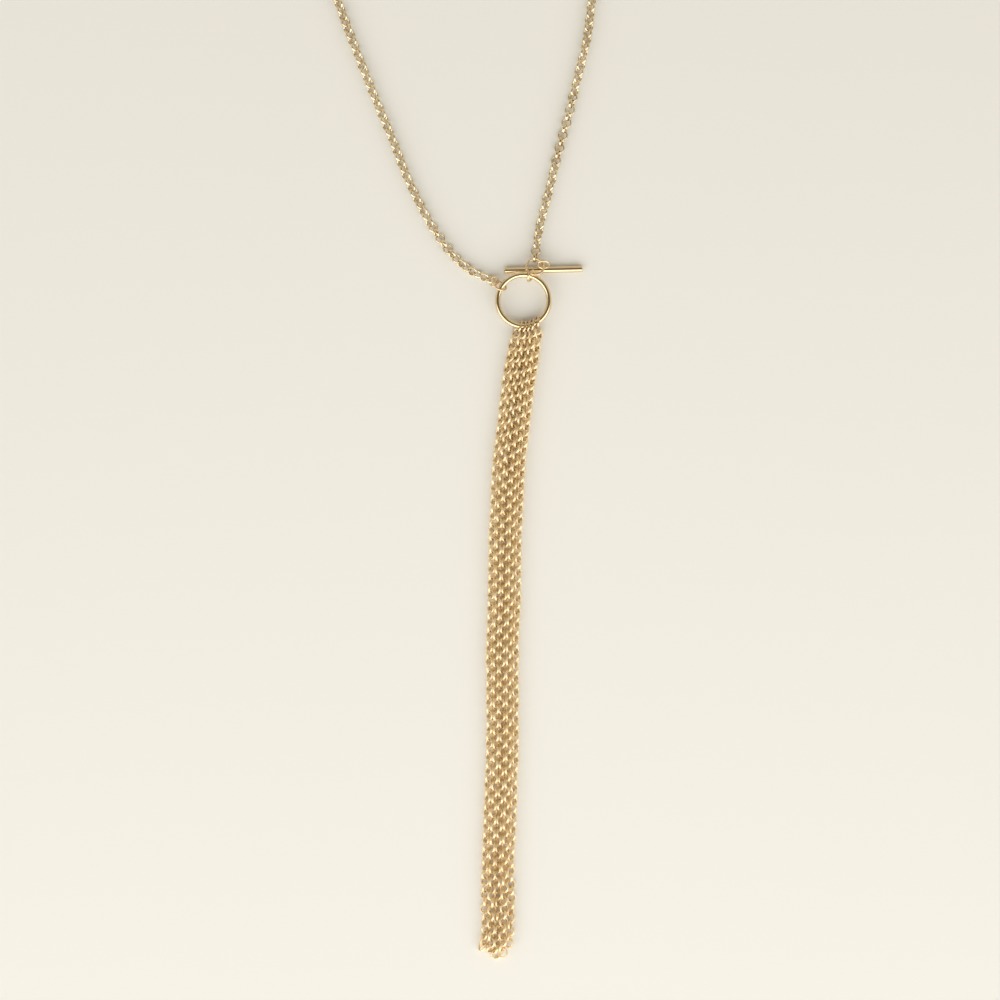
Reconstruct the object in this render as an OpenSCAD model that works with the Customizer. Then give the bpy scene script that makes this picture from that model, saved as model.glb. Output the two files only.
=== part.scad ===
// A necklace in the form of a Y. A fine link chain goes round the neck and meets in front at a
// toggle, a round ring with a bar beside it. Five more lengths of the same chain hang from the
// ring as a fringe. The necklace lies on a flat surface at z = 0, with the neck end towards +Y
// and the fringe towards -Y.

/* [Toggle ring] */
// Outer diameter of the toggle's ring
ring_d = 13.6; // [13.2:0.1:14]
// Thickness of the ring's round wire
ring_wire = 1.3; // [1.1:0.05:1.35]
// Tilt of the ring as it lies, its upper edge resting beside the bar
ring_tilt = 4.7; // [4.2:0.1:5.2]

/* [Toggle bar] */
// Length of the bar
bar_len = 18.7; // [14:0.1:22]
// Diameter of the bar
bar_d = 1.55; // [1.3:0.05:1.6]
// Bevel round each end of the bar
bar_bevel = 0.15; // [0.05:0.05:0.4]
// Outer diameter of the eye that is soldered to the middle of the bar
eye_d = 3.2; // [3:0.1:3.4]
// Angle at which the eye stands up from the surface
eye_lean = 54; // [50:1:60]

/* [Jump rings] */
// Thickness of the wire of the small jump rings and of the eye
jump_wire = 0.5; // [0.4:0.05:0.55]
// Outer diameter of the five jump rings of the fringe
fringe_jump_d = 3.2; // [3.1:0.05:3.3]
// Outer diameter of the link round the top of the ring and of the jump ring at its left
large_jump_d = 3.4; // [3.3:0.05:3.5]
// Outer diameter of the jump ring at the left end of the neck chain
small_jump_d = 2.7; // [2.65:0.05:2.75]
// Outer diameter of the jump ring that joins the bar to the right end of the neck chain
bar_jump_d = 4.7; // [4.6:0.05:4.8]
// Thickness of that jump ring's wire
bar_jump_wire = 0.55; // [0.45:0.05:0.6]
// Width of the seam where a jump ring closes
seam = 0.05; // [0.02:0.01:0.1]

/* [Chain] */
// Width and height of the neck chain, the outer diameter of one link
chain_d = 2.48; // [1.6:0.04:2.6]
// Width of one strand of the fringe, where the links nest into the next strand
strand_w = 1.28; // [1:0.02:1.3]
// Height of one strand of the fringe
strand_h = 2.3; // [1.4:0.02:2.4]
// Distance between the middles of neighbouring strands
strand_pitch = 1.46; // [1.44:0.01:1.6]

/* [Hidden] */

$fn = 96;
wire_sides = 48;
polished = [0.86, 0.70, 0.42];
chain_gold = [0.80, 0.63, 0.34];

// Middle of the whole outline, which is the origin of the piece
middle = [-7.8, 66.72];

// The toggle's ring: its centre, and the radius of the middle of its wire
ring_pos = [5.6, 47.8, 1.85];
ring_r = (ring_d - ring_wire) / 2;

// The bar: the middle of its axis, and its turn in plan
bar_pos = [10.4, 55.2, bar_d / 2];
bar_turn = 1.3;
// How far the eye's wire sinks into the bar, which is the solder
eye_sink = 0.38;
eye_reach = bar_d / 2 + eye_d / 2 - eye_sink;

// The large jump ring above the bar: its centre and its turns about X and Y
bar_jump_pos = [8.4, 55.85, 2.6];
bar_jump_turn = [-22.5, -1.5];
// Where its seam is, as an angle in its own plane, and so for each jump ring below
bar_jump_seam_at = 205;

// The small jump ring at the left end of the neck chain
left_jump_2_pos = [-1.45, 52.35, 1.5];
left_jump_2_turn = [-10, -24];
left_jump_2_seam_at = 100;

// Jump rings round the ring's wire. Columns: angle on the ring, offset outwards, offset upwards,
// turn in plan away from the outward direction, lean away from upright
bar_link_place = [73, 0, 0.35, -9, 17];
bar_link_seam_at = 0;
left_jump_1_place = [147.5, 0.4, -0.05, 6, 40];
left_jump_1_seam_at = 60;
fringe_jump_places = [
  [-98, 0.22, 0.25, -9, 12],
  [-89.5, 0.25, 0.22, -17, 17],
  [-80.5, 0.2, 0.25, -21, 13],
  [-71, 0.1, 0.22, -30, 14],
  [-57, 0.02, 0.2, -37, 11]
];
fringe_jump_seam_at = 235;

// Route of the neck chain, from its left end round the neck to its right end
neck_route = [
  [-2.6, 53.1], [-7.4, 55.3], [-12.4, 60], [-17.2, 67.2], [-22, 76.8], [-26, 87], [-29.8, 96],
  [-33.6, 105.6], [-37.2, 115], [-41, 126], [-44.8, 138], [-48, 150], [-50.6, 162], [-52.2, 174],
  [-52.6, 186], [-51.4, 198], [-48.2, 210], [-42.8, 221], [-35, 230.4], [-25.4, 237.4],
  [-14.4, 241.6], [-2.6, 242.6], [9, 240.2], [19.4, 234.4], [27.8, 225.8], [33.4, 215],
  [36.5, 203.4], [37, 191.4], [36.1, 179.4], [33.7, 167.4], [30.4, 155.6], [26.9, 144],
  [24, 132.2], [22.1, 120.5], [20.9, 111], [18.8, 102], [16.6, 93], [13.8, 82.6], [11.6, 73.6],
  [9.4, 65], [8.4, 58.3]
];

// Route of the fringe's middle strand, without its ends
fringe_route = [
  [5.5, 37], [5.3, 33], [4.5, 29], [3.8, 23.5], [3.2, 17.5], [2.3, 10.8], [1.7, 2], [1.3, -8],
  [1.1, -18], [0.9, -26], [0.55, -36], [0.55, -48], [0.55, -58], [0.2, -70], [-0.2, -80],
  [-0.45, -87], [-0.4, -96], [-0.6, -103]
];
// How far right of the route every strand begins, and where each begins and ends, left to right
strand_lead = 0.6;
strand_starts = [39.6, 39.5, 39.5, 39.7, 40.2];
strand_ends = [-109.3, -109.6, -110.4, -109.8, -107.2];

tube_sides = 8;
steps = 2;

// Point at t between b and c on the smooth curve through a, b, c and d
function curve_point(a, b, c, d, t) =
  0.5 * (2 * b + (c - a) * t + (2 * a - 5 * b + 4 * c - d) * t * t + (3 * b - a - 3 * c + d) * t * t * t);

// Smooth curve through a list of points
function curve(points) =
  let (n = len(points) - 1)
  [
    for (i = [0:n - 1], k = [0:steps - 1])
      curve_point(
        points[max(i - 1, 0)], points[i], points[i + 1], points[min(i + 2, n)], k / steps
      ),
    points[n]
  ];

function unit(v) = v / norm(v);

// Level direction across a path at point i
function across(path, i) =
  let (along = unit(path[min(i + 1, len(path) - 1)] - path[max(i - 1, 0)]))
  [-along.y, along.x];

// Corner k of the tube's section at point i of the path
function corner(path, i, k, w, h) =
  let (
    angle = (k + 0.5) * 360 / tube_sides,
    grow = 1 / cos(180 / tube_sides),
    plan = path[i] + across(path, i) * cos(angle) * grow * w / 2
  )
  [plan.x, plan.y, h / 2 + sin(angle) * grow * h / 2];

// Point on the middle of the ring's wire, at an angle in the ring's own plane
function wire_at(angle) =
  ring_pos + ring_r * [cos(angle), sin(angle) * cos(ring_tilt), sin(angle) * sin(ring_tilt)];

// Moves a piece from where it was laid out to the piece's own origin
module placed() {
  translate([-middle.x, -middle.y, 0])
    children();
}

// Closed ring of round wire, lying flat
module wire_ring(d, wire) {
  rotate_extrude()
    translate([(d - wire) / 2, 0])
      circle(d = wire, $fn = wire_sides);
}

// Ring of round wire with a butt seam at the angle given
module jump_ring(d, wire, seam_at) {
  r = (d - wire) / 2;
  seam_angle = seam / r * 180 / PI;
  rotate(seam_at + seam_angle / 2)
    rotate_extrude(angle = 360 - seam_angle)
      translate([r, 0])
        circle(d = wire, $fn = wire_sides);
}

// Jump ring round the wire of the toggle's ring
module jump_ring_on_wire(place, d, seam_at) {
  angle = place[0];
  out = place[1];
  up = place[2];
  turn = place[3];
  lean = place[4];
  translate(wire_at(angle) + [out * cos(angle), out * sin(angle), up])
    rotate([0, 0, angle + turn])
      rotate([90 - lean, 0, 0])
        jump_ring(d, jump_wire, seam_at);
}

// Tube of flat facets along a level path, resting on z = 0
module tube(path, w, h) {
  n = len(path);
  corners = [for (i = [0:n - 1], k = [0:tube_sides - 1]) corner(path, i, k, w, h)];
  walls = [
    for (i = [0:n - 2], k = [0:tube_sides - 1])
      let (next = (k + 1) % tube_sides)
      [
        i * tube_sides + k, i * tube_sides + next,
        (i + 1) * tube_sides + next, (i + 1) * tube_sides + k
      ]
  ];
  first_cap = [for (k = [tube_sides - 1:-1:0]) k];
  last_cap = [for (k = [0:tube_sides - 1]) (n - 1) * tube_sides + k];
  polyhedron(points = corners, faces = concat([first_cap], walls, [last_cap]), convexity = 6);
}

module toggle_ring() {
  color(polished)
    placed()
      translate(ring_pos)
        rotate([ring_tilt, 0, 0])
          wire_ring(ring_d, ring_wire);
}

module toggle_bar() {
  color(polished)
    placed()
      translate(bar_pos)
        rotate([0, 0, bar_turn])
          union() {
            bar_rod();
            bar_eye();
          }
}

// Round rod along X with a small bevel at both ends
module bar_rod() {
  half = bar_len / 2;
  flat_r = bar_d / 2 - bar_bevel;
  rotate([0, 90, 0])
    rotate_extrude()
      polygon([
        [0, -half], [flat_r, -half], [bar_d / 2, -half + bar_bevel],
        [bar_d / 2, half - bar_bevel], [flat_r, half], [0, half]
      ]);
}

// Eye standing on the rod, leaning back from the ring
module bar_eye() {
  rotate([eye_lean, 0, 0])
    translate([0, eye_reach, 0])
      wire_ring(eye_d, jump_wire);
}

module bar_jump() {
  color(polished)
    placed()
      translate(bar_jump_pos)
        rotate([bar_jump_turn.x, bar_jump_turn.y, 0])
          jump_ring(bar_jump_d, bar_jump_wire, bar_jump_seam_at);
}

module bar_link() {
  color(polished)
    placed()
      jump_ring_on_wire(bar_link_place, large_jump_d, bar_link_seam_at);
}

module left_jump_1() {
  color(polished)
    placed()
      jump_ring_on_wire(left_jump_1_place, large_jump_d, left_jump_1_seam_at);
}

module left_jump_2() {
  color(polished)
    placed()
      translate(left_jump_2_pos)
        rotate([left_jump_2_turn.x, left_jump_2_turn.y, 0])
          jump_ring(small_jump_d, jump_wire, left_jump_2_seam_at);
}

module neck_chain() {
  color(chain_gold)
    placed()
      tube(curve(neck_route), chain_d, chain_d);
}

// Jump ring number i of the fringe, from left to right
module fringe_jump(i) {
  color(polished)
    placed()
      jump_ring_on_wire(fringe_jump_places[i - 1], fringe_jump_d, fringe_jump_seam_at);
}

// Strand number i of the fringe, from left to right
module fringe_strand(i) {
  shift = (i - 3) * strand_pitch;
  first = fringe_route[0];
  last = fringe_route[len(fringe_route) - 1];
  start = [first.x + shift + strand_lead, strand_starts[i - 1]];
  end = [last.x + shift, strand_ends[i - 1]];
  route = [for (p = fringe_route) p + [shift, 0]];
  color(chain_gold)
    placed()
      tube(curve(concat([start], route, [end])), strand_w, strand_h);
}

toggle_ring();
toggle_bar();
bar_jump();
bar_link();
left_jump_1();
left_jump_2();
neck_chain();
fringe_jump(1);  // fringe_jump_1
fringe_jump(2);  // fringe_jump_2
fringe_jump(3);  // fringe_jump_3
fringe_jump(4);  // fringe_jump_4
fringe_jump(5);  // fringe_jump_5
fringe_strand(1);  // fringe_strand_1
fringe_strand(2);  // fringe_strand_2
fringe_strand(3);  // fringe_strand_3
fringe_strand(4);  // fringe_strand_4
fringe_strand(5);  // fringe_strand_5
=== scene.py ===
import math
import random

import bpy
import numpy as np
from mathutils import Matrix, Vector


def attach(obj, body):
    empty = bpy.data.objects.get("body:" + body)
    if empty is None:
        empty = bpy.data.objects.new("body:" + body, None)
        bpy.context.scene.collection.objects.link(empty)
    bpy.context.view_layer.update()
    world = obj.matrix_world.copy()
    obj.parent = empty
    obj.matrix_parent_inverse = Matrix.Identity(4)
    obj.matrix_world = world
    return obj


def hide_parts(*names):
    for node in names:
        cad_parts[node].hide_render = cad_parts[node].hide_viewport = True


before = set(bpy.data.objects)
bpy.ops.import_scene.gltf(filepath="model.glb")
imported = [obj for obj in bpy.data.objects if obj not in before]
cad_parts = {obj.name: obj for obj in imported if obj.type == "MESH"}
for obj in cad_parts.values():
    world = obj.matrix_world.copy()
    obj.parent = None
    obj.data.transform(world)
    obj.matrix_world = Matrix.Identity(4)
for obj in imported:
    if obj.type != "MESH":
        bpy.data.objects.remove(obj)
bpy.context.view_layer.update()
rng = random.Random(41)

# Down to the meshes, lengths are in millimetres on the plan that the routes were laid out on,
# and angles are in degrees. MIDDLE is where the piece's own origin is on that plan.
MIDDLE = np.array([-7.8, 66.72, 0.0])
MM = 0.001

# The toggle's ring, and the eye soldered to its bar
RING_POS = np.array([5.6, 47.8, 1.85])
RING_R = 6.15
RING_WIRE = 1.3
RING_TILT = 4.7
BAR_POS = np.array([10.4, 55.2, 0.775])
BAR_TURN = 1.3
EYE_D = 3.2
EYE_LEAN = 54
EYE_REACH = 1.995

# The jump rings. Those of the fringe are cut through at FRINGE_SEAM, the others at their SEAMS.
JUMP_WIRE = 0.5
JUMP_D = 3.4
FRINGE_JUMP_D = 3.2
LEFT_JUMP_POS = np.array([-1.45, 52.35, 1.5])
LEFT_JUMP_R = 1.1
BAR_JUMP_WIRE = 0.55
BAR_JUMP_POS = np.array([8.4, 55.85, 2.6])
BAR_JUMP_R = 2.075
SEAMS = {"bar_link": 0, "left_jump_1": 60, "left_jump_2": 100, "bar_jump": 205}
FRINGE_SEAM = 235
SEAM_GAP = 0.05

# The links of the chain: radius of the middle of the wire, half the wire's thickness in the
# link's own plane and across it, and the distance between two links in the neck chain
LINK_R = 1.06
LINK_WIRE = 0.20
LINK_DEPTH = 0.33
PITCH = 1.575
# A link's soldered joint lies between these angles, and is thicker by a share over a width
BEAD_PLACE = (60, 120)
BEAD_RISE = 0.07
BEAD_WIDTH = 7

NECK_ROUTE = [
    (-2.4, 52.85), (-7.4, 55.3), (-12.4, 60), (-17.2, 67.2), (-22, 76.8), (-26, 87), (-29.8, 96),
    (-33.6, 105.6), (-37.2, 115), (-41, 126), (-44.8, 138), (-48, 150), (-50.6, 162),
    (-52.2, 174), (-52.6, 186), (-51.4, 198), (-48.2, 210), (-42.8, 221), (-35, 230.4),
    (-25.4, 237.4), (-14.4, 241.6), (-2.6, 242.6), (9, 240.2), (19.4, 234.4), (27.8, 225.8),
    (33.4, 215), (36.5, 203.4), (37, 191.4), (36.1, 179.4), (33.7, 167.4), (30.4, 155.6),
    (26.9, 144), (24, 132.2), (22.1, 120.5), (20.9, 111), (18.8, 102), (16.6, 93), (13.8, 82.6),
    (11.6, 73.6), (9.4, 65), (8.4, 58.27),
]
# The neck chain lies rolled by this angle, give or take NECK_JITTER, and by FLAT_ROLL less where
# it lies flat
NECK_ROLL = 45
NECK_JITTER = 4
FLAT_ROLL = 32
# Where it lies flat: on which side, the height where that starts and the length over which it
# comes, the height where it ends and the length over which it goes, and how flat the chain lies
FLATS = [
    ("right", 78, 5, 99, 4, 1.0),
    ("right", 57, 2, 62, 3, 1.0),
    ("left", 57, 3, 68, 4, 0.8),
]
# The first link goes through the left jump ring, and the last three rise to the bar's jump ring
FIRST_LINK = (-2.35, 52.8, 1.05)
LAST_HEIGHTS = (1.72, 1.35, 1.05)
# How much lower than its neighbour a link can start out
LINK_SAG = 0.6

FRINGE_ROUTE = [
    (5.5, 37), (5.3, 33), (4.5, 29), (3.8, 23.5), (3.2, 17.5), (2.3, 10.8), (1.7, 2), (1.3, -8),
    (1.1, -18), (0.9, -26), (0.55, -36), (0.55, -48), (0.55, -58), (0.2, -70), (-0.2, -80),
    (-0.45, -87), (-0.4, -96), (-0.6, -103), (-0.7, -112),
]
STRANDS = 5
MIDDLE_STRAND = 2
STRAND_PITCH = 1.46
# Distance between the links of the fringe at heights down the plan: pushed together at the top
# and drawn out lower down
FRINGE_PITCHES = [(40, 1.4), (29, 1.42), (19, 1.47), (9, 1.5), (0, 1.56), (-20, 1.575),
                  (-38, 1.6), (-48, 1.64), (-70, 1.66), (-90, 1.66), (-105, 1.6)]
# How many links each strand is ahead of the one at its left, at heights down the plan. LEAD_FADE
# and the other fades are the height where something starts and the length over which it comes.
STRAND_LEADS = [(40, 0.3), (20, 0.35), (8, 0.6), (-4, 1.0), (-120, 1.0)]
LEAD_FADE = (36, 14)
# Step along a strand in which its links are counted
COUNT_STEP = 0.1
# Heights of the strands' lower ends
STRAND_ENDS = [-110.2, -110.5, -111.2, -110.6, -107.9]
# How far above the floor the links of each strand start out, after the first LIFT_LINKS, and
# what is added for all
STRAND_LIFTS = [0.0, 0.5, 0.0, 0.5, 0.0]
LIFT_LINKS = 3
START_GAP = 0.05
# The first link's middle is HANG_OUT past the jump ring's wire and starts out HANG_LIFTS above
# it. Each further link starts out lower by HANG_DROP, until they lie.
HANG_OUT = 0.5
HANG_LIFTS = [-0.4, 0.5, -0.5, 0.6, -0.2]
HANG_DROP = 0.22
# The links of the fringe stand at STRAND_ROLL, to one side and to the other by turns, and all
# are turned by STRAND_YAW in plan
STRAND_ROLL = 72
STRAND_YAW = -34
# The first link lies flatter, because its jump ring stands. HANG_FADE is the link at which the
# strand's own roll is reached, and the number of links over which it comes.
HANG_ROLLS = (52, 132)
HANG_FADE = (3.5, 3)
# The last link lies flatter too, because it holds nothing
END_ROLLS = (38, 142)
# Lower down the strands lie loose: their links lie flatter by LOOSE_LEAN, are twisted to and fro,
# and crowd together, until the very ends spread. The twist's two steps are in radians.
LOOSE_FADE = (-84, 10)
LOOSE_LEAN = 12
TWIST = 24
TWIST_PER_LINK = 0.5
TWIST_PER_STRAND = 2.1
LOOSE_CROWD = 0.05
END_SPREAD = 0.35
END_FADE = (-106, 3)
# Chance in each link's place: in the even part of the fringe, and what the loose part adds
ROLL_JITTER = (3, 3)
YAW_JITTER = (2, 6)
SIDE_JITTER = (0.02, 0.08)

# Two rings that start out closer than NEAR are kept apart by at least SKIN
NEAR = 0.3
SKIN = 0.012
# Points of a ring that are tried, how many of them lie at least between its two contacts with
# another ring, and how often the place of a contact is refined
SAMPLES = 24
APART = 4
REFINE = 4
# A ring's resistance to turning, as a share of its radius squared
SPIN_INERTIA = 0.7
# Share of a push that is done in one step, and the power of a ring's number of contacts that its
# pushes are divided by
PUSH_RATE = 0.9
SHARING = 0.6
# Steps with a pull on the links, and steps without
PULLED_STEPS = 160
FREE_STEPS = 60
# Share of the way to its place and its turn that a link is pulled in one step, and how far it
# sinks
HOME_PULL = 0.03
HOME_TURN = 0.08
SINK = 0.004
# The turn in plan is complete at 1 / YAW_RAMP of the pulled steps
YAW_RAMP = 1.3
# Keeps divisions off zero
TINY = 1e-9

# Points round a ring and round its wire
LINK_GRID = (28, 12)
JUMP_GRID = (72, 20)
RING_GRID = (192, 48)


# Placing of rings and links

def turned(x=0.0, y=0.0, z=0.0):
    """Turn about X, then Y, then Z."""
    turn = Matrix.Rotation(math.radians(z), 3, "Z")
    turn = turn @ Matrix.Rotation(math.radians(y), 3, "Y")
    return np.array(turn @ Matrix.Rotation(math.radians(x), 3, "X"))


def jump_ring_place(angle, out, up, turn, lean, diameter):
    """Middle, axes, radius and half the wire of a jump ring round the toggle's ring. Its middle
    is out and up from that ring's wire, at an angle round that ring."""
    a = math.radians(angle)
    tilt = math.radians(RING_TILT)
    wire = RING_POS + RING_R * np.array(
        [math.cos(a), math.sin(a) * math.cos(tilt), math.sin(a) * math.sin(tilt)])
    middle = wire + np.array([out * math.cos(a), out * math.sin(a), up])
    axes = turned(z=angle + turn) @ turned(x=90 - lean)
    return middle, axes, (diameter - JUMP_WIRE) / 2, JUMP_WIRE / 2


JUMP_RINGS = {
    "bar_link": jump_ring_place(73, 0, 0.35, -9, 17, JUMP_D),
    "left_jump_1": jump_ring_place(147.5, 0.4, -0.05, 6, 40, JUMP_D),
    "left_jump_2": (LEFT_JUMP_POS, turned(-10, -24), LEFT_JUMP_R, JUMP_WIRE / 2),
    "bar_jump": (BAR_JUMP_POS, turned(-22.5, -1.5), BAR_JUMP_R, BAR_JUMP_WIRE / 2),
    "fringe_jump_1": jump_ring_place(-98, 0.22, 0.25, -9, 12, FRINGE_JUMP_D),
    "fringe_jump_2": jump_ring_place(-89.5, 0.25, 0.22, -17, 17, FRINGE_JUMP_D),
    "fringe_jump_3": jump_ring_place(-80.5, 0.2, 0.25, -21, 13, FRINGE_JUMP_D),
    "fringe_jump_4": jump_ring_place(-71, 0.1, 0.22, -30, 14, FRINGE_JUMP_D),
    "fringe_jump_5": jump_ring_place(-57, 0.02, 0.2, -37, 11, FRINGE_JUMP_D),
}


class Path:
    """Smooth curve through points on the plan, read by the length along it. It has PARTS steps
    from point to point, and its direction is read over REACH to each side."""

    PARTS = 16
    REACH = 0.4

    def __init__(self, points):
        p = np.array(points, float)
        p = np.vstack([2 * p[0] - p[1], p, 2 * p[-1] - p[-2]])
        fine = []
        for a, b, c, d in zip(p, p[1:], p[2:], p[3:]):
            for k in range(self.PARTS):
                t = k / self.PARTS
                fine.append(0.5 * (2 * b + (c - a) * t + (2 * a - 5 * b + 4 * c - d) * t ** 2
                                   + (3 * b - a - 3 * c + d) * t ** 3))
        fine.append(p[-2])
        self.points = np.array(fine)
        steps = np.linalg.norm(np.diff(self.points, axis=0), axis=1)
        self.at = np.concatenate([[0], np.cumsum(steps)])
        self.length = self.at[-1]

    def point(self, s):
        return np.array([np.interp(s, self.at, self.points[:, k]) for k in (0, 1)])

    def along(self, s):
        ahead, behind = min(s + self.REACH, self.length), max(s - self.REACH, 0)
        step = self.point(ahead) - self.point(behind)
        return step / np.linalg.norm(step)


def link_axes(along, roll):
    """Axes of a link: along the chain, across it in the link's own plane, and square to both."""
    t = np.array([along[0], along[1], 0.0])
    level = np.array([-along[1], along[0], 0.0])
    up = np.cross(t, level)
    a = math.radians(roll)
    w = math.cos(a) * level + math.sin(a) * up
    return np.stack([t, w, np.cross(t, w)], axis=1)


def smooth_step(x):
    x = min(max(x, 0.0), 1.0)
    return x * x * (3 - 2 * x)


def under(value, limit, over):
    """0 above the limit and 1 from over below it on, smooth in between."""
    return smooth_step((limit - value) / over)


def table_at(table, y):
    """Value of a table of (height, value) rows at the height y."""
    return float(np.interp(-y, [-row[0] for row in table], [row[1] for row in table]))


def jitter(sizes, loose):
    """Chance in a link's place, where loose says how far it is into the loose part."""
    return rng.gauss(0, sizes[0] + sizes[1] * loose)


def neck_links():
    """Links of the neck chain, from its left end round to its right end."""
    path = Path(NECK_ROUTE)
    count = round(path.length / PITCH) + 1
    step = path.length / (count - 1)
    places = []
    for k in range(count):
        s = k * step
        x, y = path.point(s)
        side = "right" if x > 0 else "left"
        flat = max(smooth_step((y - low) / rise) * under(y, high, fall) * most
                   for where, low, rise, high, fall, most in FLATS if where == side)
        roll = NECK_ROLL - FLAT_ROLL * flat + 90 * (k % 2) + rng.gauss(0, NECK_JITTER)
        z = LINK_R * abs(math.sin(math.radians(roll))) + LINK_WIRE
        places.append((np.array([x, y, z]), link_axes(path.along(s), roll)))
    places[0][0][:] = FIRST_LINK
    for k, z in enumerate(LAST_HEIGHTS, 1):
        places[-k][0][2] = max(places[-k][0][2], z)
    # A link that lies flat is held up by the ones that stand
    for a, b in list(zip(places, places[1:])) + list(zip(places[::-1], places[-2::-1])):
        b[0][2] = max(b[0][2], a[0][2] - LINK_SAG)
    return places


def strand_path(i, hang):
    """Path of a strand that hangs from the point hang."""
    shift = (i - MIDDLE_STRAND) * STRAND_PITCH
    common = [(x + shift, y) for x, y in FRINGE_ROUTE]
    toward = np.array(common[1]) - hang[:2]
    toward /= np.linalg.norm(toward)
    start = hang[:2] + toward * HANG_OUT
    return Path([tuple(start)] + common[1:])


def strand_numbers(i, path):
    """Lengths along a strand's path, the number that a link at each would have if the count ran
    on evenly from strand to strand, and how many links the strand has."""
    counted, at = [0.0], [0.0]
    while at[-1] < path.length - COUNT_STEP:
        y = path.point(at[-1])[1]
        at.append(at[-1] + COUNT_STEP)
        counted.append(counted[-1] + COUNT_STEP / table_at(FRINGE_PITCHES, y))
    heights = [path.point(a)[1] for a in at]
    side = i - MIDDLE_STRAND
    lead = [side * table_at(STRAND_LEADS, y) * under(y, *LEAD_FADE) for y in heights]
    numbers = [c + l for c, l in zip(counted, lead)]
    end = STRAND_ENDS[i] + LINK_R + LINK_WIRE
    last = np.interp(-end, [-y for y in heights], numbers)
    return at, numbers, int(last - numbers[0]) + 1


def strand_links(i):
    """Links of one strand of the fringe, from its jump ring down."""
    middle, axes, radius, _ = JUMP_RINGS[f"fringe_jump_{i + 1}"]
    hang = middle + radius * axes[:, 0]
    path = strand_path(i, hang)
    at, numbers, count = strand_numbers(i, path)
    places = []
    for k in range(count):
        s = float(np.interp(numbers[0] + k, numbers, at))
        x, y = path.point(s)
        loose = under(y, *LOOSE_FADE)
        top = under(k, *HANG_FADE)
        lean = STRAND_ROLL - LOOSE_LEAN * loose
        roll = (1 - top) * (lean, 180 - lean)[k % 2] + top * HANG_ROLLS[k % 2]
        if k == count - 1:
            roll = END_ROLLS[k % 2]
        twist = TWIST * loose * math.sin(TWIST_PER_LINK * k + TWIST_PER_STRAND * i)
        roll += twist + jitter(ROLL_JITTER, loose)
        yaw = jitter(YAW_JITTER, loose)
        x += (i - MIDDLE_STRAND) * (END_SPREAD * under(y, *END_FADE) - LOOSE_CROWD * loose)
        x += jitter(SIDE_JITTER, loose)
        z = LINK_R * abs(math.sin(math.radians(roll))) + LINK_WIRE + START_GAP
        z += STRAND_LIFTS[i] * smooth_step((k - 1) / LIFT_LINKS)
        z = max(z, hang[2] + HANG_LIFTS[i] - HANG_DROP * k)
        along = turned(z=yaw)[:2, :2] @ path.along(s)
        places.append((np.array([x, y, z]), link_axes(along, roll)))
    return places


# Settling of the links on the floor and against each other

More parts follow.
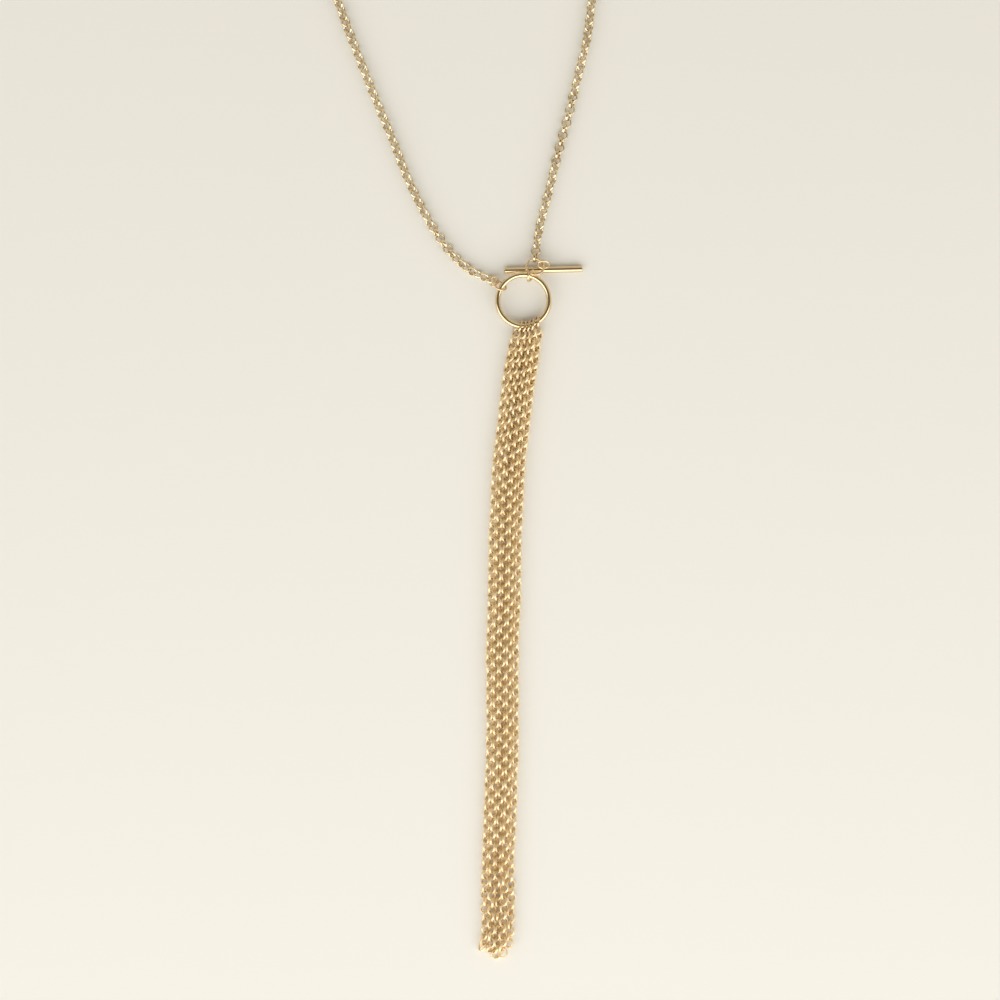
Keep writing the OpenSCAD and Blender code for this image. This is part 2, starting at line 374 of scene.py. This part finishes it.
class Rings:
    """Rings of round or oval wire that push each other apart. The links can move, and the fixed
    rings can't. wire and depth are half the wire's thickness in a ring's own plane and across
    it."""

    def __init__(self, links, fixed):
        bodies = [(*link, LINK_R, LINK_WIRE, LINK_DEPTH) for link in links]
        bodies += [(*ring, ring[3]) for ring in fixed]
        self.free = len(links)
        self.middle, self.axes, self.radius, self.wire, self.depth = (
            np.array(column) for column in zip(*bodies))
        self.home = self.middle.copy()
        self.home_axes = self.axes.copy()
        # The pairs of rings that can touch, with a link in each pair
        reach = self.radius + self.depth
        gap = np.linalg.norm(self.middle[:, None] - self.middle[None], axis=2)
        near = np.triu(gap < reach[:, None] + reach[None] + NEAR, 1)
        near[self.free:] = False
        self.one, self.other = np.nonzero(near)
        turn = np.linspace(0, 2 * math.pi, SAMPLES, endpoint=False)
        self.cos, self.sin = np.cos(turn), np.sin(turn)

    def half_wire(self, ring, tilt):
        """Half the wire's thickness in a direction, where tilt is the square of how far that
        direction points along the ring's own axis."""
        return np.sqrt(self.wire[ring] ** 2 * (1 - tilt) + self.depth[ring] ** 2 * tilt)

    def reach(self, ring, away):
        """How far the wire of a ring reaches out of its centre line, in the direction away."""
        return self.half_wire(ring, (self.axes[ring][:, :, 2] * away).sum(1) ** 2)

    def nearest(self, ring, p):
        """Point of a ring's centre line nearest to p."""
        v = p - self.middle[ring]
        n = self.axes[ring][:, :, 2]
        v = v - (v * n).sum(1)[:, None] * n
        length = np.maximum(np.linalg.norm(v, axis=1), TINY)
        return self.middle[ring] + v * (self.radius[ring] / length)[:, None]

    def contacts(self):
        """Nearest places of each pair of rings, up to two a pair."""
        i, j = self.one, self.other
        axes = self.axes[i]
        p = self.middle[i][:, None] + self.radius[i][:, None, None] * (
            self.cos[None, :, None] * axes[:, None, :, 0]
            + self.sin[None, :, None] * axes[:, None, :, 1])
        v = p - self.middle[j][:, None]
        n = self.axes[j][:, None, :, 2]
        v = v - (v * n).sum(2)[:, :, None] * n
        length = np.maximum(np.linalg.norm(v, axis=2), TINY)
        q = self.middle[j][:, None] + v * (self.radius[j][:, None] / length)[:, :, None]
        gap = np.linalg.norm(p - q, axis=2)
        best = gap.argmin(1)
        lag = np.abs(np.arange(SAMPLES)[None] - best[:, None])
        lag = np.minimum(lag, SAMPLES - lag)
        second = np.where(lag > APART, gap, np.inf).argmin(1)
        rows = np.arange(len(i))
        p = np.concatenate([p[rows, best], p[rows, second]])
        i, j = np.tile(i, 2), np.tile(j, 2)
        for _ in range(REFINE):
            q = self.nearest(j, p)
            p = self.nearest(i, q)
        v = p - q
        gap = np.linalg.norm(v, axis=1)
        away = v / np.maximum(gap, TINY)[:, None]
        overlap = self.reach(i, away) + self.reach(j, away) + SKIN - gap
        hit = overlap > 0
        return i[hit], j[hit], p[hit], q[hit], away[hit], overlap[hit]

    def push(self):
        """Moves touching rings apart, and lifts what is below the floor."""
        i, j, p, q, away, overlap = self.contacts()
        move, spin = np.zeros_like(self.middle), np.zeros_like(self.middle)
        share = np.zeros(len(self.middle))
        arm_i, arm_j = np.cross(p - self.middle[i], away), np.cross(q - self.middle[j], away)
        inertia = SPIN_INERTIA * self.radius ** 2
        give_i = np.where(i < self.free, 1 + (arm_i ** 2).sum(1) / inertia[i], 0)
        give_j = np.where(j < self.free, 1 + (arm_j ** 2).sum(1) / inertia[j], 0)
        amount = overlap / np.maximum(give_i + give_j, TINY)
        for ring, arm, sign in ((i, arm_i, 1), (j, arm_j, -1)):
            np.add.at(move, ring, sign * amount[:, None] * away)
            np.add.at(spin, ring, sign * (amount / inertia[ring])[:, None] * arm)
            np.add.at(share, ring, 1)
        # The floor, at each ring's lowest point
        n = self.axes[:, :, 2]
        down = np.array([0, 0, -1.0]) + n[:, 2:3] * n
        down /= np.maximum(np.linalg.norm(down, axis=1), TINY)[:, None]
        low = down * self.radius[:, None]
        sunk = self.half_wire(slice(None), n[:, 2] ** 2) - (self.middle[:, 2] + low[:, 2])
        arm = np.cross(low, np.array([0, 0, 1.0]))
        amount = np.where(sunk > 0, sunk / (1 + (arm ** 2).sum(1) / inertia), 0)
        move[:, 2] += amount
        spin += (amount / inertia)[:, None] * arm
        share += sunk > 0
        scale = PUSH_RATE / np.maximum(share, 1)[:, None] ** SHARING
        self.apply(move * scale, spin * scale)

    def apply(self, move, spin):
        """Moves and turns the links."""
        k = self.free
        self.middle[:k] += move[:k]
        angle = np.linalg.norm(spin[:k], axis=1)
        axis = spin[:k] / np.maximum(angle, TINY)[:, None]
        s, c = np.sin(angle)[:, None, None], np.cos(angle)[:, None, None]
        axes = self.axes[:k]
        a = np.repeat(axis[:, :, None], 3, axis=2)
        cross = np.cross(a, axes, axis=1)
        dot = (axis[:, :, None] * axes).sum(1)[:, None, :]
        self.axes[:k] = axes * c + cross * s + a * dot * (1 - c)

    def settle(self, first, yaw):
        """Lets the links come to rest near their places, while those from number first on are
        slowly turned in plan by yaw."""
        start_axes = self.home_axes.copy()
        k = self.free
        for step in range(PULLED_STEPS):
            turn = turned(z=yaw * min(1.0, YAW_RAMP * step / PULLED_STEPS))
            self.home_axes[first:k] = np.einsum("ij,njk->nik", turn, start_axes[first:k])
            move, spin = np.zeros_like(self.middle), np.zeros_like(self.middle)
            move[:k, :2] = (self.home[:k, :2] - self.middle[:k, :2]) * HOME_PULL
            move[:k, 2] = -SINK
            for a in range(3):
                spin[:k] += HOME_TURN * np.cross(self.axes[:k, :, a], self.home_axes[:k, :, a])
            self.apply(move, spin)
            self.push()
        for _ in range(FREE_STEPS):
            self.push()


# Meshes

def wire_grid(middle, axes, radius, wire, grid, start=0.0, turn=360.0, bead=None, flat=1.0):
    """Grid of points on a bent wire: rows go round the ring, columns round the wire. A wire
    with flat above 1 is deeper across the ring's plane than in it."""
    around, section = grid
    a = np.radians(start + np.linspace(0, turn, around, endpoint=turn < 360))
    b = np.linspace(0, 2 * math.pi, section, endpoint=False)
    thick = np.full(around, wire)
    if bead is not None:
        thick = wire * (1 + BEAD_RISE * np.exp(-((np.degrees(a) - bead) / BEAD_WIDTH) ** 2))
    out = radius + thick[:, None] * np.cos(b)[None]
    local = np.stack([out * np.cos(a)[:, None], out * np.sin(a)[:, None],
                      flat * thick[:, None] * np.sin(b)[None]], axis=2)
    return local @ axes.T + middle


def grid_faces(grid, closed, start=0):
    rows, columns = grid
    r = np.arange(rows if closed else rows - 1)[:, None]
    c = np.arange(columns)[None]
    r2, c2 = (r + 1) % rows, (c + 1) % columns
    f = np.stack([r * columns + c, r2 * columns + c, r2 * columns + c2, r * columns + c2], axis=2)
    return f.reshape(-1, 4) + start


def make_piece(name, points, faces, material, node, tone=None):
    """Piece of the given points, moved from the plan to its place, that stands for a node."""
    mesh = bpy.data.meshes.new(name)
    places = (np.asarray(points) - MIDDLE) * MM
    mesh.from_pydata(places.tolist(), [], [list(map(int, f)) for f in faces])
    mesh.validate()
    if tone is not None:
        layer = mesh.attributes.new("tone", "FLOAT", "POINT")
        layer.data.foreach_set("value", np.asarray(tone, np.float32))
    mesh.polygons.foreach_set("use_smooth", [True] * len(mesh.polygons))
    mesh.materials.append(material)
    piece = bpy.data.objects.new(name, mesh)
    bpy.context.scene.collection.objects.link(piece)
    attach(piece, "root")
    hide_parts(node)


def chain_piece(node, rings, first, count, material):
    """One mesh with every link of a chain. Each link's soldered joint is a little thicker."""
    each = LINK_GRID[0] * LINK_GRID[1]
    points, faces, tone = [], [], []
    for k in range(first, first + count):
        bead = rng.uniform(*BEAD_PLACE)
        grid = wire_grid(rings.middle[k], rings.axes[k], LINK_R, LINK_WIRE, LINK_GRID,
                         bead=bead, flat=LINK_DEPTH / LINK_WIRE)
        faces.append(grid_faces(LINK_GRID, True, len(points) * each))
        points.append(grid.reshape(-1, 3))
        tone.append(np.full(each, rng.random()))
    make_piece(node + "_links", np.concatenate(points), np.concatenate(faces), material,
               node, np.concatenate(tone))


def jump_piece(node, material):
    """Jump ring of round wire, cut straight through at its seam."""
    middle, axes, radius, wire = JUMP_RINGS[node]
    around, section = JUMP_GRID
    gap = math.degrees(SEAM_GAP / radius)
    start = SEAMS.get(node, FRINGE_SEAM) + gap / 2
    grid = wire_grid(middle, axes, radius, wire, JUMP_GRID, start, 360 - gap)
    ends = [grid[0].mean(0), grid[-1].mean(0)]
    points = np.vstack([grid.reshape(-1, 3), *ends])
    faces = grid_faces(JUMP_GRID, False).tolist()
    # The two cut ends, round their middles, which are the last two points
    for c in range(section):
        faces.append([c, (c + 1) % section, around * section])
    last = (around - 1) * section
    for c in range(section):
        faces.append([last + (c + 1) % section, last + c, around * section + 1])
    make_piece(node + "_wire", points, faces, material, node)


# Materials

# The rub marks: how much finer than the change of tone, how deep in metres, and how strong
RUB_SCALE = 14
RUB_DEPTH = 0.00002
RUB_STRENGTH = 0.12
# Most of a noise lies between these values
NOISE_LOW = 0.3
NOISE_HIGH = 0.7
# What the rub marks make of a metal's roughness, as shares of it
ROUGH_LOW = 0.75
ROUGH_HIGH = 1.35
# Share of a link's own tone in its colour, beside the slow change
TONE_SHARE = 0.5


def new_material(name):
    """A material, its nodes, their links, and the shader among them."""
    m = bpy.data.materials.new(name)
    m.use_nodes = True
    nodes, links = m.node_tree.nodes, m.node_tree.links
    return m, nodes, links, nodes["Principled BSDF"]


def noise(nodes, links, scale, detail, roughness=0.5):
    """Value of a noise on the piece's own coordinates."""
    place = nodes.new("ShaderNodeTexCoord")
    node = nodes.new("ShaderNodeTexNoise")
    node.inputs["Scale"].default_value = scale
    node.inputs["Detail"].default_value = detail
    node.inputs["Roughness"].default_value = roughness
    links.new(place.outputs["Object"], node.inputs["Vector"])
    return node.outputs["Fac"]


def colour_ramp(nodes, links, value, stops):
    """Colour that runs through the stops, each a position and a colour, as the value rises."""
    ramp = nodes.new("ShaderNodeValToRGB")
    elements = ramp.color_ramp.elements
    elements[0].position, elements[1].position = stops[0][0], stops[-1][0]
    for position, _ in stops[1:-1]:
        elements.new(position)
    for element, (_, colour) in zip(elements, stops):
        element.color = (*colour, 1)
    links.new(value, ramp.inputs["Fac"])
    return ramp.outputs["Color"]


def gold(name, deep, mid, light, rough, scale, toned=False):
    """Warm plated metal: a slow change of tone, and fine rub marks in its gloss and surface. A
    toned one also changes from link to link."""
    m, nodes, links, shader = new_material(name)
    value = noise(nodes, links, scale, detail=4)
    if toned:
        own = nodes.new("ShaderNodeAttribute")
        own.attribute_name = "tone"
        mix = nodes.new("ShaderNodeMix")
        mix.data_type = "FLOAT"
        # Inputs 0, 2 and 3 are the share and the two numbers that are mixed
        mix.inputs[0].default_value = TONE_SHARE
        links.new(value, mix.inputs[2])
        links.new(own.outputs["Fac"], mix.inputs[3])
        value = mix.outputs[0]
    stops = [(NOISE_LOW, deep), ((NOISE_LOW + NOISE_HIGH) / 2, mid), (NOISE_HIGH, light)]
    links.new(colour_ramp(nodes, links, value, stops), shader.inputs["Base Color"])
    shader.inputs["Metallic"].default_value = 1.0
    fine = noise(nodes, links, scale * RUB_SCALE, detail=6, roughness=0.65)
    spread = nodes.new("ShaderNodeMapRange")
    spread.inputs["From Min"].default_value = NOISE_LOW
    spread.inputs["From Max"].default_value = NOISE_HIGH
    spread.inputs["To Min"].default_value = rough * ROUGH_LOW
    spread.inputs["To Max"].default_value = rough * ROUGH_HIGH
    links.new(fine, spread.inputs["Value"])
    links.new(spread.outputs["Result"], shader.inputs["Roughness"])
    bump = nodes.new("ShaderNodeBump")
    bump.inputs["Strength"].default_value = RUB_STRENGTH
    bump.inputs["Distance"].default_value = RUB_DEPTH
    links.new(fine, bump.inputs["Height"])
    links.new(bump.outputs["Normal"], shader.inputs["Normal"])
    return m


def floor_material():
    m, nodes, links, shader = new_material("pale_floor")
    value = noise(nodes, links, scale=2.5, detail=2)
    stops = [(0, (0.90, 0.885, 0.835)), (1, (0.94, 0.925, 0.875))]
    colour = colour_ramp(nodes, links, value, stops)
    links.new(colour, shader.inputs["Base Color"])
    shader.inputs["Roughness"].default_value = 0.9
    shader.inputs["Specular IOR Level"].default_value = 0.1
    return m


# The necklace

neck = neck_links()
strands = [strand_links(i) for i in range(STRANDS)]
ring_body = (RING_POS, turned(RING_TILT), RING_R, RING_WIRE / 2)
eye_axes = turned(z=BAR_TURN) @ turned(EYE_LEAN)
eye_body = (BAR_POS + eye_axes @ np.array([0, EYE_REACH, 0]), eye_axes,
            (EYE_D - JUMP_WIRE) / 2, JUMP_WIRE / 2)
settled = Rings(neck + sum(strands, []), [*JUMP_RINGS.values(), ring_body, eye_body])
settled.settle(len(neck), STRAND_YAW)

# One plated gold in three copies. The polished gold of the ring, bar and jump rings has a darker
# base colour, which is painted shade. The fringe's chain gold has a lighter base colour, which is
# painted light. The neck gold lies between the two. Each copy also has the metal's own tone,
# which changes at random.
polished = gold("polished_gold_with_painted_shade", (0.77, 0.59, 0.36), (0.83, 0.66, 0.41),
                (0.86, 0.69, 0.44), 0.12, 180)
neck_metal = gold("neck_gold_metal", (0.76, 0.62, 0.40), (0.86, 0.73, 0.50),
                  (0.92, 0.79, 0.56), 0.12, 240, toned=True)
chain_metal = gold("chain_gold_with_painted_light", (0.95, 0.77, 0.48), (0.98, 0.82, 0.55),
                   (1.0, 0.85, 0.60), 0.54, 240, toned=True)

chain_piece("neck_chain", settled, 0, len(neck), neck_metal)
first = len(neck)
for i, strand in enumerate(strands):
    chain_piece(f"fringe_strand_{i + 1}", settled, first, len(strand), chain_metal)
    first += len(strand)
for name in JUMP_RINGS:
    jump_piece(name, polished)

ring_grid = wire_grid(*ring_body, RING_GRID)
make_piece("toggle_ring_wire", ring_grid.reshape(-1, 3), grid_faces(RING_GRID, True), polished,
           "toggle_ring")
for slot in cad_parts["toggle_bar"].material_slots:
    slot.material = polished


# Floor, light and camera, in metres

FLOOR_HALF = 3.0
COOL = (0.98, 0.99, 1.0)
WARM = (1.0, 0.98, 0.94)
# What the photo shows: its middle on the floor, and its width there
VIEW = Vector((0.0078, -0.0667, 0.0))
VIEW_WIDTH = 0.24
CAMERA_HEIGHT = 0.9
SENSOR = 36


def make_floor():
    mesh = bpy.data.meshes.new("floor")
    h = FLOOR_HALF
    mesh.from_pydata([(-h, -h, 0), (h, -h, 0), (h, h, 0), (-h, h, 0)], [], [(0, 1, 2, 3)])
    mesh.materials.append(floor_material())
    floor = bpy.data.objects.new("floor", mesh)
    bpy.context.scene.collection.objects.link(floor)


def soft_light(name, side, height, distance, size, brightness, colour):
    """Panel of light that faces the necklace. side is its bearing and height its elevation, in
    degrees; brightness is what a mirror would show of it, with 1 as white."""
    data = bpy.data.lights.new(name, "AREA")
    data.shape = "RECTANGLE"
    data.size, data.size_y = size
    data.energy = brightness * math.pi * size[0] * size[1]
    data.color = colour
    light = bpy.data.objects.new(name, data)
    a, b = math.radians(side), math.radians(height)
    away = Vector((math.cos(a) * math.cos(b), math.sin(a) * math.cos(b), math.sin(b)))
    light.location = VIEW + away * distance
    light.rotation_mode = "QUATERNION"
    light.rotation_quaternion = (-away).to_track_quat("-Z", "Y")
    bpy.context.scene.collection.objects.link(light)


def make_room():
    """A room that is darker overhead than low down, which gives round metal its dark lines."""
    world = bpy.data.worlds.new("studio")
    world.use_nodes = True
    nodes, links = world.node_tree.nodes, world.node_tree.links
    place = nodes.new("ShaderNodeTexCoord")
    height = nodes.new("ShaderNodeSeparateXYZ")
    links.new(place.outputs["Generated"], height.inputs["Vector"])
    stops = [(0.35, (0.56, 0.51, 0.41)), (0.95, (0.13, 0.115, 0.085))]
    colour = colour_ramp(nodes, links, height.outputs["Z"], stops)
    links.new(colour, nodes["Background"].inputs["Color"])
    bpy.context.scene.world = world
    bpy.context.scene.view_settings.view_transform = "Standard"


def make_camera():
    """The camera looks straight down, as the photo does."""
    data = bpy.data.cameras.new("camera")
    data.sensor_width = SENSOR
    data.lens = SENSOR * CAMERA_HEIGHT / VIEW_WIDTH
    camera = bpy.data.objects.new("camera", data)
    camera.location = (VIEW.x, VIEW.y, CAMERA_HEIGHT)
    bpy.context.scene.collection.objects.link(camera)
    bpy.context.scene.camera = camera


make_floor()
soft_light("front_light", -90, 42, 1.1, (3.4, 1.35), 1.75, COOL)
soft_light("left_light", 180, 25, 1.6, (2.0, 0.8), 0.3, WARM)
soft_light("right_light", 0, 25, 1.6, (2.0, 0.8), 0.3, WARM)
soft_light("back_light", 90, 35, 1.6, (2.4, 1.2), 0.2, WARM)
make_room()
make_camera()
